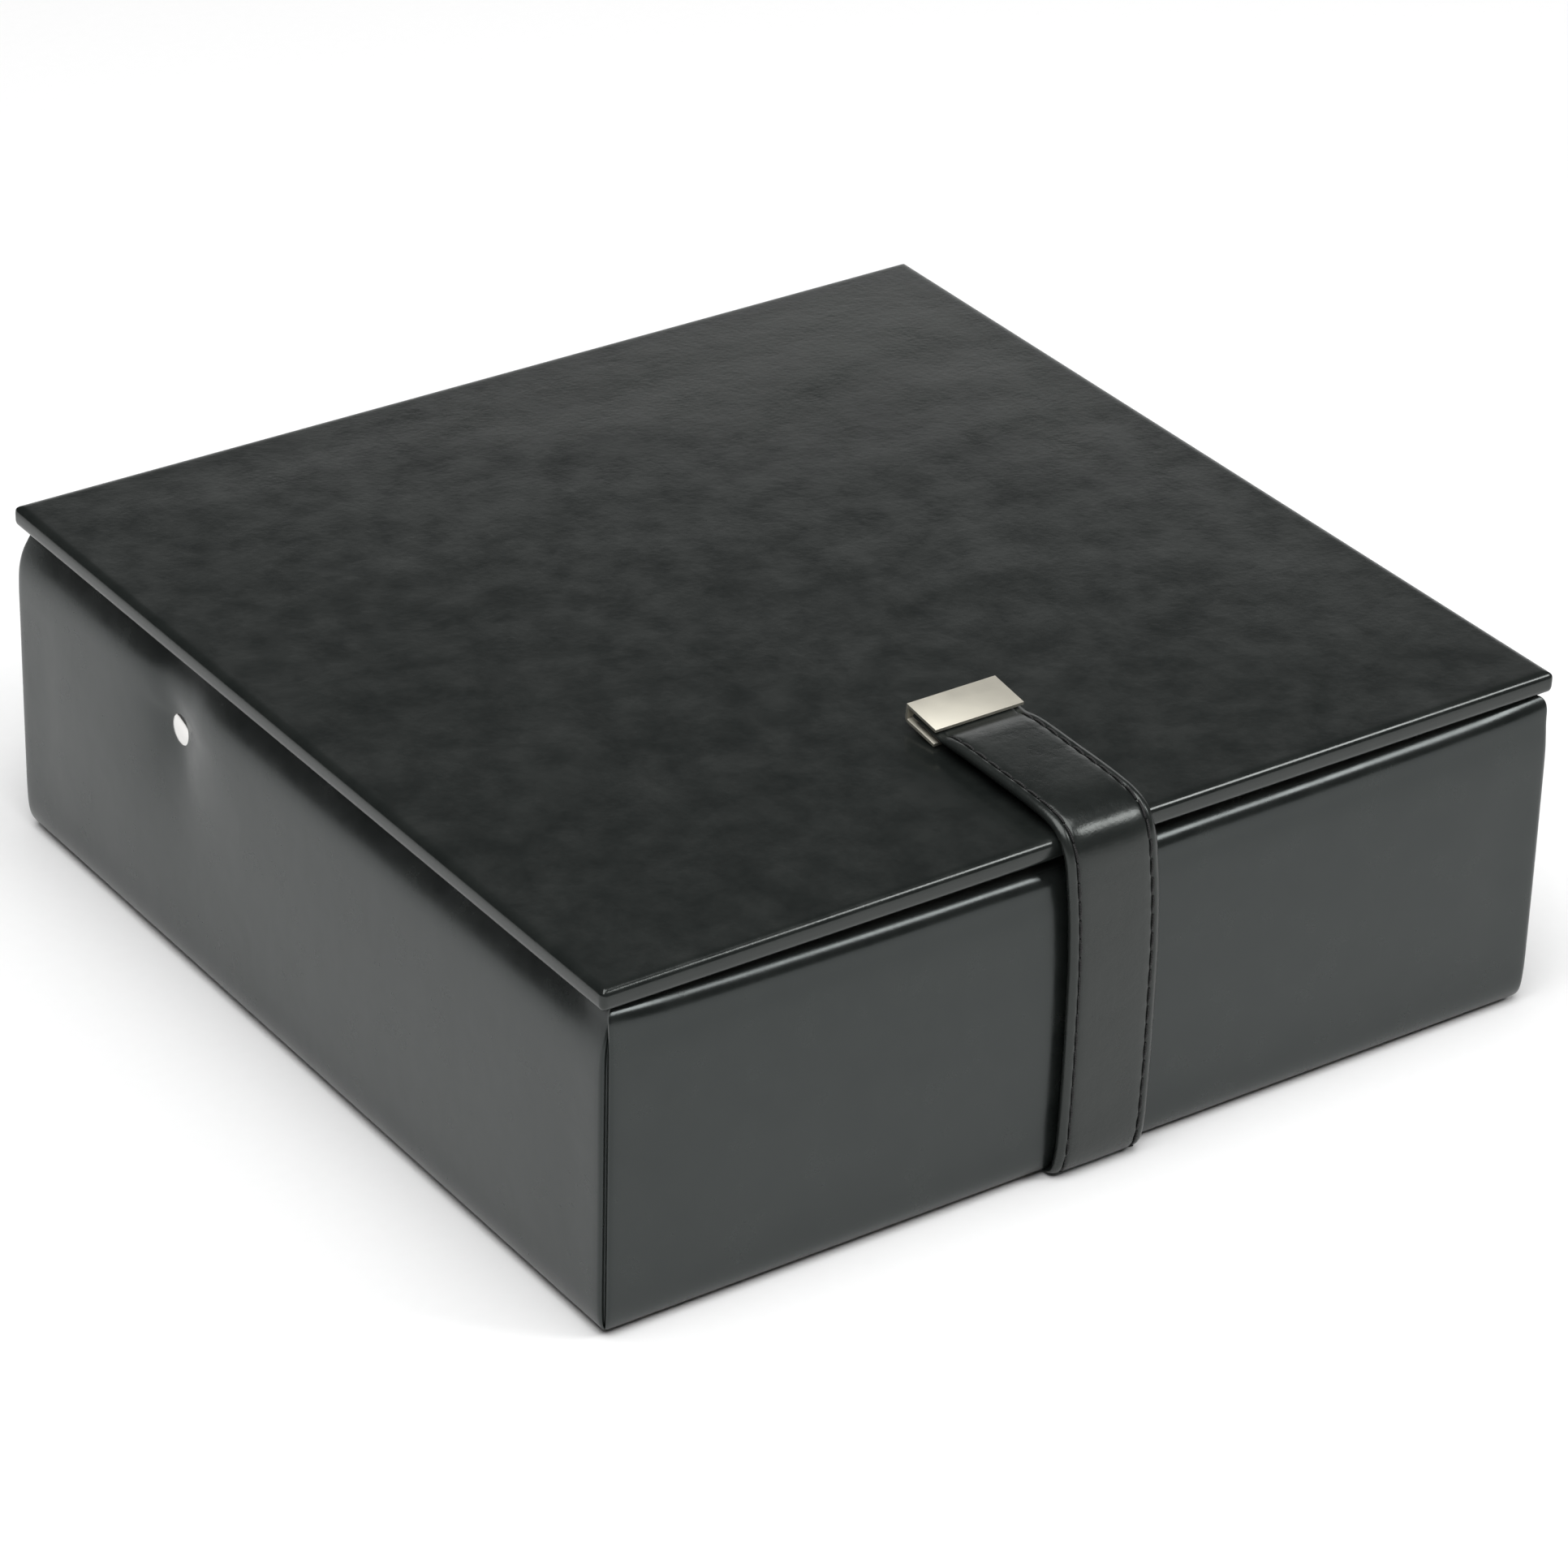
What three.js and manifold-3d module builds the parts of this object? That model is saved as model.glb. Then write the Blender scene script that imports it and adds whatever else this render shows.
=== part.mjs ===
// A square leather jewelry box: padded body, thin hinged lid, a strap with a magnetic clip, and a
// tray that two levers lift and carry back, level, as the lid opens.
// Millimetres. +X runs to the right along the front, +Y to the back, +Z up.
// The origin is the middle of the underside.

import * as THREE from 'three';
import { mergeVertices } from 'three/addons/utils/BufferGeometryUtils.js';
import Module from 'manifold-3d';

const wasm = await Module();
wasm.setup();

// ---- driving dimensions ----

const gap = 0.3; // between pieces that rest on or pass through each other

const lid = { width: 270, depth: 268, thickness: 5.5, top: 92, corner: 3, edge: 1.6, skin: 1.2 };
const body = { width: 267.5, depth: 267, top: 84.4, lip: 2.9, rim: 2.4 };
const layer = { cover: 1.4, floor: 3.8, padding: 3.5, board: 4, lining: 1 };

// hinge: the axis lies behind the rear wall, level with the split under the lid
const hinge = { y: 136.8, z: 85.5, knuckle: 2.2, pin: 1, length: 40, spread: 75, leaf: 0.6, reach: 13 };
const knuckleCount = 5;

// the tray's four pivots make a parallelogram with the hinge and the studs
const stud = { y: 55.7, z: 64.9, shank: 2, head: 4.3, dome: 1.1, sink: 1.6, innerHead: 3.6, innerThick: 0.7 };
const arm = { y: -60, z: -8.5, halfWidth: 5, thickness: 1.8, pin: 1.6, pinHead: 2.4, headThick: 0.8 };
const bracket = { halfTop: 10, flange: 12, flangeThick: 0.8 };
const leverPlane = 122.4; // inner face of the levers and the brackets, each side of the middle

// the tray stops behind the strap's clip, so that it rises clear of the closed strap
const tray = { halfWidth: 120.8, front: -69, rear: 82.5, bottom: 51, top: 82.5, floor: 2.5, wall: 3 };
const trayDividerY = -21.5;
const ringRollCount = 5;
const earringPadHeight = 8;

const divider = { thickness: 3, top: 49, frontTop: 78, frontY: -72.8, rearY: 83.5, crossY: 5 };
const mirror = { width: 180, depth: 150, thick: 0.9, y: -18, frameOver: 5, frameLap: 4 };
const braceletRollRadius = 17;

// strap: it stands a little off the front wall and a little above the lid
const strap = { width: 25.5, thickness: 2.8, outerY: -139, bottom: 2.2, under: 94.2, bend: 2.4, tongue: 1.4 };
// the clip is a plate folded round the strap's end, its rear edge a little higher than its front
const clip = { width: 25.3, rearY: -74.8, rearTop: 98.9, length: 11.7, height: 4.8, sheet: 0.8, tilt: 0.133 };
const magnet = { radius: 4.2, thickness: 0.9, keeperRadius: 7 };

// ---- places worked out from them ----

const halfW = body.width / 2;
const halfD = body.depth / 2;
const boardInset = layer.padding + gap; // how far in from the outer face each layer starts
const liningInset = boardInset + layer.board + gap;
const insideInset = liningInset + layer.lining;
const insideW = halfW - insideInset;
const insideD = halfD - insideInset;
const coverTop = layer.cover;
const floorTop = coverTop + gap + layer.floor;
const floorLiningTop = floorTop + gap + layer.lining;
const lipUnder = body.top - body.lip;
const lidUnder = lid.top - lid.thickness;
const liningTop = lidUnder + layer.lining;
const clipMidY = clip.rearY - clip.length / 2;
const leverPivot = { y: stud.y + arm.y, z: stud.z + arm.z };
const bracketPivot = { y: hinge.y + arm.y, z: hinge.z + arm.z };
const trayMidY = (tray.front + tray.rear) / 2;
const trayHalfD = (tray.rear - tray.front) / 2;
const trayFloorTop = tray.bottom + tray.floor;
const trayInsideW = tray.halfWidth - tray.wall;
const pinHeadX = trayInsideW - gap; // heads of the pivot pins stand inside the tray's side walls

const finishes = {
  leather: { color: 0x2a2b2a, roughness: 0.42, metalness: 0 },
  board: { color: 0x8a6f4f, roughness: 0.8, metalness: 0 },
  velvet: { color: 0x6a6660, roughness: 0.95, metalness: 0 },
  felt: { color: 0x1c1c1c, roughness: 0.95, metalness: 0 },
  nickel: { color: 0xc0bdb0, roughness: 0.3, metalness: 1 },
  polished: { color: 0xe2e2de, roughness: 0.1, metalness: 1 },
  steel: { color: 0x8f9193, roughness: 0.35, metalness: 1 },
  mirror: { color: 0xdfe6e8, roughness: 0.03, metalness: 1 },
};

// ---- helpers ----

function piece(group, name, geometry, finish, at = [0, 0, 0]) {
  const mesh = new THREE.Mesh(geometry, new THREE.MeshStandardMaterial(finishes[finish]));
  mesh.name = name;
  mesh.position.set(...at);
  group.add(mesh);
  return mesh;
}

function solid(geometry) {
  const bare = geometry.clone();
  bare.deleteAttribute('normal');
  bare.deleteAttribute('uv');
  const merged = mergeVertices(bare, 1e-4);
  const mesh = new wasm.Mesh({
    numProp: 3,
    vertProperties: new Float32Array(merged.attributes.position.array),
    triVerts: new Uint32Array(merged.index.array),
  });
  return new wasm.Manifold(mesh);
}

function shell(manifold) {
  const mesh = manifold.getMesh();
  const geometry = new THREE.BufferGeometry();
  geometry.setAttribute('position', new THREE.BufferAttribute(mesh.vertProperties, 3));
  geometry.setIndex(new THREE.BufferAttribute(mesh.triVerts, 1));
  geometry.computeVertexNormals();
  return geometry;
}

function cut(geometry, ...tools) {
  return shell(tools.reduce((whole, tool) => whole.subtract(solid(tool)), solid(geometry)));
}

function join(geometry, ...more) {
  return shell(more.reduce((whole, next) => whole.add(solid(next)), solid(geometry)));
}

function block(x0, x1, y0, y1, z0, z1) {
  const box = new THREE.BoxGeometry(x1 - x0, y1 - y0, z1 - z0);
  return box.translate((x0 + x1) / 2, (y0 + y1) / 2, (z0 + z1) / 2);
}

// a round bar along X
function bar(radius, x0, x1, y = 0, z = 0, sides = 24) {
  const cylinder = new THREE.CylinderGeometry(radius, radius, x1 - x0, sides);
  return cylinder.rotateZ(Math.PI / 2).translate((x0 + x1) / 2, y, z);
}

function roundedRect(width, depth, radius) {
  const w = width / 2 - radius;
  const d = depth / 2 - radius;
  const shape = new THREE.Shape();
  shape.absarc(w, d, radius, 0, Math.PI / 2);
  shape.absarc(-w, d, radius, Math.PI / 2, Math.PI);
  shape.absarc(-w, -d, radius, Math.PI, 1.5 * Math.PI);
  shape.absarc(w, -d, radius, 1.5 * Math.PI, 2 * Math.PI);
  shape.closePath();
  return shape;
}

function slab(shape, height) {
  return new THREE.ExtrudeGeometry(shape, { depth: height, bevelEnabled: false, curveSegments: 5 });
}

// a side view drawn in (y, z), given its thickness along X
function sidePlate(shape, thickness) {
  const plate = new THREE.ExtrudeGeometry(shape, { depth: thickness, bevelEnabled: false, curveSegments: 10 });
  return plate.rotateX(Math.PI / 2).rotateZ(Math.PI / 2);
}

// a wall of a rectangular frame with mitred ends: the section is drawn as (inset, height) and the
// wall stands at -Y, its outer face offset from the middle
function mitredWall(section, halfLength, offset) {
  const wall = new THREE.ExtrudeGeometry(section, { depth: 1, bevelEnabled: false, curveSegments: 4 });
  const position = wall.attributes.position;
  for (let i = 0; i < position.count; i += 1) {
    const inset = position.getX(i);
    const height = position.getY(i);
    const end = position.getZ(i) * 2 - 1;
    position.setXYZ(i, end * (halfLength - inset - gap / 2), inset - offset, height);
  }
  return wall;
}

function rectangle(u0, u1, v0, v1) {
  const shape = new THREE.Shape();
  shape.moveTo(u0, v0);
  shape.lineTo(u1, v0);
  shape.lineTo(u1, v1);
  shape.lineTo(u0, v1);
  shape.closePath();
  return shape;
}

// names of the four walls with the turn that brings each round from the front
const sides = [
  { name: 'front', turn: 0 },
  { name: 'right', turn: 1 },
  { name: 'rear', turn: 2 },
  { name: 'left', turn: 3 },
];

function fourWalls(group, suffix, section, halfAcross, halfDeep, finish, drill) {
  for (const { name, turn } of sides) {
    const sideways = turn % 2 === 1;
    const wall = sideways
      ? mitredWall(section, halfDeep, halfAcross)
      : mitredWall(section, halfAcross, halfDeep);
    wall.rotateZ((turn * Math.PI) / 2);
    const done = sideways && drill ? cut(wall, ...drill(name === 'left' ? -1 : 1)) : wall;
    piece(group, `${name}_${suffix}`, done, finish);
  }
}

// a bar through a side wall, for drilling it
function sideDrill(side, radius, y, z) {
  const middle = side * leverPlane;
  const reach = insideInset + leverPlane / 10;
  return bar(radius, middle - reach, middle + reach, y, z);
}

// ---- case ----

// the padded cover folds over the wall's top as a soft rolled rim
function paddingSection() {
  const shape = new THREE.Shape();
  shape.moveTo(layer.padding, coverTop + gap);
  shape.lineTo(layer.padding, lipUnder);
  shape.lineTo(insideInset, lipUnder);
  shape.lineTo(insideInset, body.top);
  shape.absarc(body.rim, body.top - body.rim, body.rim, Math.PI / 2, Math.PI);
  shape.lineTo(0, coverTop + gap + body.rim / 2);
  shape.lineTo(body.rim / 2, coverTop + gap);
  shape.closePath();
  return shape;
}

function buildWalls(group) {
  const studHole = (side) => [sideDrill(side, stud.shank + gap, stud.y, stud.z)];
  // the stud's head sits in a recess in the padding
  const recess = (side) => {
    const floor = side * (halfW - stud.sink - gap);
    const mouth = side * (halfW + stud.sink);
    return bar(stud.head + gap, Math.min(floor, mouth), Math.max(floor, mouth), stud.y, stud.z);
  };
  const studSeat = (side) => [...studHole(side), recess(side)];
  fourWalls(group, 'padding', paddingSection(), halfW, halfD, 'leather', studSeat);
  const board = rectangle(boardInset, boardInset + layer.board, floorTop + gap, lipUnder - gap);
  fourWalls(group, 'board', board, halfW, halfD, 'board', studHole);
}

function buildLinings(group) {
  const bottom = slab(roundedRect(2 * (halfW - boardInset), 2 * (halfD - boardInset), 2), layer.cover);
  piece(group, 'bottom_cover', bottom, 'felt');
  const floor = slab(roundedRect(2 * (halfW - boardInset), 2 * (halfD - boardInset), 2), layer.floor);
  piece(group, 'floor_board', floor, 'board', [0, 0, coverTop + gap]);

  const outline = rectangle(-halfW + liningInset, halfW - liningInset, -halfD + liningInset, halfD - liningInset);
  outline.holes.push(rectangle(-insideW, insideW, -insideD, insideD));
  const ring = slab(outline, lipUnder - floorTop - 2 * gap).translate(0, 0, floorTop + gap);
  const drills = [-1, 1].map((side) => sideDrill(side, stud.shank + gap, stud.y, stud.z));
  piece(group, 'wall_lining', cut(ring, ...drills), 'velvet');

  const sheet = slab(roundedRect(2 * (insideW - gap), 2 * (insideD - gap), 1), layer.lining);
  piece(group, 'floor_lining', sheet, 'velvet', [0, 0, floorTop + gap]);
}

function buildLowerDividers(group) {
  const low = floorLiningTop + gap;
  const half = divider.thickness / 2;
  const x = insideW - gap;
  const rearFace = divider.rearY - half - gap;
  const frontFace = divider.frontY + half + gap;
  const across = (at) => [at - half, at + half];
  piece(group, 'lower_front_divider', block(-x, x, ...across(divider.frontY), low, divider.frontTop), 'velvet');
  piece(group, 'lower_rear_divider', block(-x, x, ...across(divider.rearY), low, divider.top), 'velvet');
  piece(group, 'lower_middle_divider', block(-half, half, frontFace, rearFace, low, divider.top), 'velvet');
  const cross = block(-x, -half - gap, ...across(divider.crossY), low, divider.top);
  piece(group, 'lower_cross_divider', cross, 'velvet');
}

// a soft roll along X with domed ends
function roll(length, radius, dome) {
  const profile = [new THREE.Vector2(0, -length / 2)];
  const steps = 4;
  for (let i = 1; i <= steps; i += 1) {
    const angle = (i / steps) * (Math.PI / 2);
    profile.push(new THREE.Vector2(radius - dome + dome * Math.sin(angle), -length / 2 + dome * (1 - Math.cos(angle))));
  }
  for (let i = steps; i >= 1; i -= 1) {
    const angle = (i / steps) * (Math.PI / 2);
    profile.push(new THREE.Vector2(radius - dome + dome * Math.sin(angle), length / 2 - dome * (1 - Math.cos(angle))));
  }
  profile.push(new THREE.Vector2(0, length / 2));
  return new THREE.LatheGeometry(profile, 24).rotateZ(Math.PI / 2);
}

function buildBraceletRoll(group) {
  const front = divider.rearY + divider.thickness / 2;
  const at = [0, (front + insideD) / 2, floorLiningTop + gap + braceletRollRadius];
  piece(group, 'bracelet_roll', roll(2 * insideW - 6, braceletRollRadius, 4), 'velvet', at);
}

// pivot stud: polished dome outside, shank through the wall, flat head inside the lever
function studGeometry() {
  const outer = halfW - stud.sink;
  const inner = leverPlane - gap;
  const profile = [
    new THREE.Vector2(0, inner - stud.innerThick),
    new THREE.Vector2(stud.innerHead, inner - stud.innerThick),
    new THREE.Vector2(stud.innerHead, inner),
    new THREE.Vector2(stud.shank, inner),
    new THREE.Vector2(stud.shank, outer),
    new THREE.Vector2(stud.head, outer),
  ];
  const steps = 6;
  for (let i = 1; i < steps; i += 1) {
    const angle = (i / steps) * (Math.PI / 2);
    profile.push(new THREE.Vector2(stud.head * Math.cos(angle), outer + stud.dome * Math.sin(angle)));
  }
  profile.push(new THREE.Vector2(0, outer + stud.dome));
  return new THREE.LatheGeometry(profile, 32).rotateZ(-Math.PI / 2);
}

function buildStuds(group) {
  piece(group, 'right_stud', studGeometry(), 'polished', [0, stud.y, stud.z]);
  const left = piece(group, 'left_stud', studGeometry(), 'polished', [0, stud.y, stud.z]);
  left.rotation.z = Math.PI;
}

// ---- hinges ----

// one leaf of a hinge, with every second knuckle starting at first
function hingeLeaf(first, leafLow) {
  const pitch = hinge.length / knuckleCount;
  const half = hinge.length / 2;
  const plateEnd = hinge.y - hinge.knuckle - gap;
  const low = leafLow - hinge.z;
  const plate = block(-half, half, plateEnd - hinge.reach - hinge.y, plateEnd - hinge.y, low, low + hinge.leaf);
  const parts = [];
  for (let i = first; i < knuckleCount; i += 2) {
    const x0 = -half + i * pitch + (i > 0 ? gap / 2 : 0);
    const x1 = -half + (i + 1) * pitch - (i < knuckleCount - 1 ? gap / 2 : 0);
    parts.push(bar(hinge.knuckle, x0, x1));
    parts.push(block(x0, x1, plateEnd - hinge.y - 1, 0, low, low + hinge.leaf));
  }
  return cut(join(plate, ...parts), bar(hinge.pin + gap, -half - 1, half + 1));
}

function buildHinges(caseGroup, lidGroup) {
  const baseLow = body.top + gap;
  const lidLow = lidUnder - gap - hinge.leaf;
  for (const [name, side] of [['left', -1], ['right', 1]]) {
    const at = [side * hinge.spread, hinge.y, hinge.z];
    piece(caseGroup, `${name}_hinge_base_leaf`, hingeLeaf(0, baseLow), 'nickel', at);
    piece(lidGroup, `${name}_hinge_lid_leaf`, hingeLeaf(1, lidLow), 'nickel', at);
    piece(caseGroup, `${name}_hinge_pin`, bar(hinge.pin, -hinge.length / 2, hinge.length / 2), 'steel', at);
  }
}

// ---- lid ----

// outer form of the lid: rounded plan corners and a softened upper edge
function lidForm() {
  const shape = roundedRect(lid.width - 2 * lid.edge, lid.depth - 2 * lid.edge, lid.corner - lid.edge);
  const form = new THREE.ExtrudeGeometry(shape, {
    depth: lid.thickness, bevelEnabled: true, bevelThickness: lid.edge, bevelSize: lid.edge,
    bevelSegments: 3, curveSegments: 5,
  });
  form.translate(0, 0, lidUnder - lid.edge);
  const below = block(-lid.width, lid.width, -lid.depth, lid.depth, lidUnder - 10, lidUnder);
  return cut(form, below);
}

function buildLid(group) {
  const boardW = lid.width / 2 - lid.skin - gap;
  const boardD = lid.depth / 2 - lid.skin - gap;
  const skinUnder = lid.top - lid.skin;
  const hollow = block(-boardW - gap, boardW + gap, -boardD - gap, boardD + gap, lidUnder - 1, skinUnder);
  piece(group, 'lid_cover', cut(lidForm(), hollow), 'leather');

  const boardLow = liningTop + gap;
  const keeperHole = new THREE.CylinderGeometry(magnet.keeperRadius + gap, magnet.keeperRadius + gap, 20, 32);
  keeperHole.rotateX(Math.PI / 2).translate(0, clipMidY, boardLow);
  const board = block(-boardW, boardW, -boardD, boardD, boardLow, skinUnder - gap);
  piece(group, 'lid_board', cut(board, keeperHole), 'board');

  const keeperThick = skinUnder - boardLow - gap;
  const keeper = new THREE.CylinderGeometry(magnet.keeperRadius, magnet.keeperRadius, keeperThick, 32);
  keeper.rotateX(Math.PI / 2);
  piece(group, 'magnet_keeper', keeper, 'steel', [0, clipMidY, boardLow + keeperThick / 2]);

  const lining = rectangle(-boardW, boardW, -boardD, boardD);
  const reach = mirror.width / 2 + 1;
  const reachY = mirror.depth / 2 + 1;
  lining.holes.push(rectangle(-reach, reach, mirror.y - reachY, mirror.y + reachY));
  piece(group, 'lid_lining', slab(lining, layer.lining), 'velvet', [0, 0, lidUnder]);
}

function buildMirror(group) {
  const glass = slab(roundedRect(mirror.width, mirror.depth, 2), mirror.thick);
  piece(group, 'mirror_glass', glass, 'mirror', [0, mirror.y, liningTop - mirror.thick]);
  const outer = roundedRect(mirror.width + 2 * mirror.frameOver, mirror.depth + 2 * mirror.frameOver, 3);
  outer.holes.push(roundedRect(mirror.width - 2 * mirror.frameLap, mirror.depth - 2 * mirror.frameLap, 1));
  const frame = slab(outer, mirror.thick);
  piece(group, 'mirror_frame', frame, 'nickel', [0, mirror.y, lidUnder - gap - mirror.thick]);
}

// a link with two eyes in the (y, z) plane, from the origin to (dy, dz)
function linkShape(dy, dz, radius) {
  const angle = Math.atan2(dz, dy);
  const shape = new THREE.Shape();
  shape.absarc(0, 0, radius, angle + Math.PI / 2, angle + 1.5 * Math.PI);
  shape.absarc(dy, dz, radius, angle - Math.PI / 2, angle + Math.PI / 2);
  shape.closePath();
  return shape;
}

// puts a (y, z) drawing on one side, at the levers' plane
function onSide(shape, side, thickness) {
  const plate = sidePlate(shape, thickness);
  plate.computeBoundingBox();
  const inner = side > 0 ? leverPlane : -leverPlane - thickness;
  return plate.translate(inner - plate.boundingBox.min.x, 0, 0);
}

function buildBrackets(group) {
  const top = lidUnder - gap;
  const shape = new THREE.Shape();
  shape.moveTo(bracket.halfTop, top - bracketPivot.z);
  shape.lineTo(-bracket.halfTop, top - bracketPivot.z);
  shape.lineTo(-arm.halfWidth, 0);
  shape.absarc(0, 0, arm.halfWidth, Math.PI, 2 * Math.PI);
  shape.closePath();
  for (const [name, side] of [['left', -1], ['right', 1]]) {
    const plate = onSide(shape, side, arm.thickness).translate(0, bracketPivot.y, bracketPivot.z);
    const outer = side * (leverPlane + arm.thickness);
    const inner = side * (leverPlane - bracket.flange);
    const flange = block(Math.min(inner, outer), Math.max(inner, outer),
      bracketPivot.y - bracket.halfTop, bracketPivot.y + bracket.halfTop, top - bracket.flangeThick, top);
    const eye = sideDrill(side, arm.pin + gap, bracketPivot.y, bracketPivot.z);
    piece(group, `${name}_tray_bracket`, cut(join(plate, flange), eye), 'nickel');
  }
}

// ---- levers and tray ----

function buildLever(group, name, side) {
  const plate = onSide(linkShape(arm.y, arm.z, arm.halfWidth), side, arm.thickness);
  plate.translate(0, stud.y, stud.z);
  const studEye = sideDrill(side, stud.shank + gap, stud.y, stud.z);
  const pinEye = sideDrill(side, arm.pin + gap, leverPivot.y, leverPivot.z);
  piece(group, name, cut(plate, studEye, pinEye), 'nickel');
}

function pinGeometry() {
  const end = leverPlane + arm.thickness;
  const profile = [
    new THREE.Vector2(0, pinHeadX - arm.headThick),
    new THREE.Vector2(arm.pinHead, pinHeadX - arm.headThick),
    new THREE.Vector2(arm.pinHead, pinHeadX),
    new THREE.Vector2(arm.pin, pinHeadX),
    new THREE.Vector2(arm.pin, end),
    new THREE.Vector2(0, end),
  ];
  return new THREE.LatheGeometry(profile, 24).rotateZ(-Math.PI / 2);
}

function buildTrayShell(group) {
  const floor = slab(roundedRect(2 * tray.halfWidth, 2 * trayHalfD, 2), tray.floor);
  piece(group, 'tray_floor', floor, 'velvet', [0, trayMidY, tray.bottom]);
  const walls = new THREE.Group();
  walls.position.y = trayMidY;
  group.add(walls);
  const section = rectangle(0, tray.wall, trayFloorTop + gap, tray.top);
  const holes = (side) => [
    sideDrill(side, arm.pin + gap, leverPivot.y - trayMidY, leverPivot.z),
    sideDrill(side, arm.pin + gap, bracketPivot.y - trayMidY, bracketPivot.z),
  ];
  fourWalls(walls, 'tray_wall', section, tray.halfWidth, trayHalfD, 'velvet', holes);
}

function buildTrayPins(group) {
  const places = [['lever_pin', leverPivot], ['bracket_pin', bracketPivot]];
  for (const [name, at] of places) {
    piece(group, `right_${name}`, pinGeometry(), 'steel', [0, at.y, at.z]);
    const left = piece(group, `left_${name}`, pinGeometry(), 'steel', [0, at.y, at.z]);
    left.rotation.z = Math.PI;
  }
}

function buildTrayInside(group) {
  const low = trayFloorTop + gap;
  const high = tray.top - 2;
  const half = divider.thickness / 2;
  const x = trayInsideW - gap;
  const front = tray.front + tray.wall + gap;
  const rear = tray.rear - tray.wall - gap;
  piece(group, 'tray_middle_divider', block(-half, half, front, rear, low, high), 'velvet');
  const across = [trayDividerY - half, trayDividerY + half];
  piece(group, 'tray_left_divider', block(-x, -half - gap, ...across, low, high), 'velvet');
  piece(group, 'tray_right_divider', block(half + gap, x, ...across, low, high), 'velvet');

  const padEnd = pinHeadX - arm.headThick - 2 * gap; // rolls and pad stop short of the pins' heads
  const padStart = half + gap;
  const start = trayDividerY + half + gap;
  const pitch = (rear - start) / ringRollCount;
  const radius = pitch / 2 - gap;
  for (let i = 0; i < ringRollCount; i += 1) {
    const at = [-(padStart + padEnd) / 2, start + (i + 0.5) * pitch, low + radius];
    piece(group, `ring_roll_${i + 1}`, roll(padEnd - padStart, radius, 2), 'velvet', at);
  }
  const pad = block(padStart, padEnd, start, rear, low, low + earringPadHeight);
  piece(group, 'earring_pad', pad, 'velvet');
}

// ---- strap ----

function buildStrapAnchor(group) {
  const half = strap.width / 2 - gap;
  const rear = -halfD + boardInset - gap;
  const front = -halfD - 1;
  piece(group, 'strap_anchor', block(-half, half, front, rear, gap, coverTop), 'leather');
}

function buildStrapFront(group) {
  const half = strap.width / 2;
  const innerY = strap.outerY + strap.thickness;
  const front = block(-half, half, strap.outerY, innerY, strap.bottom, strap.under - gap);
  piece(group, 'strap_front', front, 'leather');
}

// a point in the clip's own tilted frame, whose origin is its upper rear edge
function inClip(y, z) {
  const cos = Math.cos(clip.tilt);
  const sin = Math.sin(clip.tilt);
  return [clip.rearY + y * cos - z * sin, clip.rearTop + y * sin + z * cos];
}

// the flap: full thickness up to the clip, then a thin tongue that the clip grips
function buildStrapTop(group) {
  const top = strap.under + strap.thickness;
  const tongueTop = -clip.sheet - gap;
  const tongueLow = tongueTop - strap.tongue;
  const tongueEnd = -clip.sheet - 1;
  const mouth = -clip.length - 1.3;
  const shoulder = clip.rearY - clip.length - 2;
  const shape = new THREE.Shape();
  shape.moveTo(strap.outerY, strap.under);
  shape.lineTo(shoulder, strap.under);
  shape.lineTo(...inClip(mouth, tongueLow));
  shape.lineTo(...inClip(tongueEnd, tongueLow));
  shape.lineTo(...inClip(tongueEnd, tongueTop));
  shape.lineTo(...inClip(mouth, tongueTop));
  shape.lineTo(shoulder, top);
  shape.absarc(strap.outerY + strap.bend, top - strap.bend, strap.bend, Math.PI / 2, Math.PI);
  shape.closePath();
  const flap = sidePlate(shape, strap.width);
  flap.computeBoundingBox();
  flap.translate(-strap.width / 2 - flap.boundingBox.min.x, 0, 0);
  piece(group, 'strap_top', flap, 'leather');
}

// folded plate: upper leaf, flat back with a rounded lower corner, lower leaf
function buildClip(group) {
  const { length, height, sheet, width } = clip;
  const round = 1.3;
  const shape = new THREE.Shape();
  shape.moveTo(-length, 0);
  shape.lineTo(-length, -sheet);
  shape.lineTo(-sheet, -sheet);
  shape.absarc(-round, -height + round, round - sheet, 0, -Math.PI / 2, true);
  shape.lineTo(-length, -height + sheet);
  shape.lineTo(-length, -height);
  shape.absarc(-round, -height + round, round, -Math.PI / 2, 0, false);
  shape.lineTo(0, 0);
  shape.closePath();
  const folded = sidePlate(shape, width);
  folded.computeBoundingBox();
  folded.translate(-width / 2 - folded.boundingBox.min.x, 0, 0);

  const tilted = new THREE.Group();
  tilted.position.set(0, clip.rearY, clip.rearTop);
  tilted.rotation.x = clip.tilt;
  group.add(tilted);
  piece(tilted, 'strap_clip', folded, 'nickel');
  const disc = new THREE.CylinderGeometry(magnet.radius, magnet.radius, magnet.thickness, 32);
  disc.rotateX(Math.PI / 2);
  const discZ = -height + sheet + gap + magnet.thickness / 2;
  piece(tilted, 'strap_magnet', disc, 'steel', [0, -length / 2, discZ]);
}

// ---- the whole box ----

const jewelryBox = new THREE.Group();
const [caseGroup, lidGroup, leverGroup, trayGroup, strapGroup] = Array.from({ length: 5 }, () => {
  const group = new THREE.Group();
  jewelryBox.add(group);
  return group;
});

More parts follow.
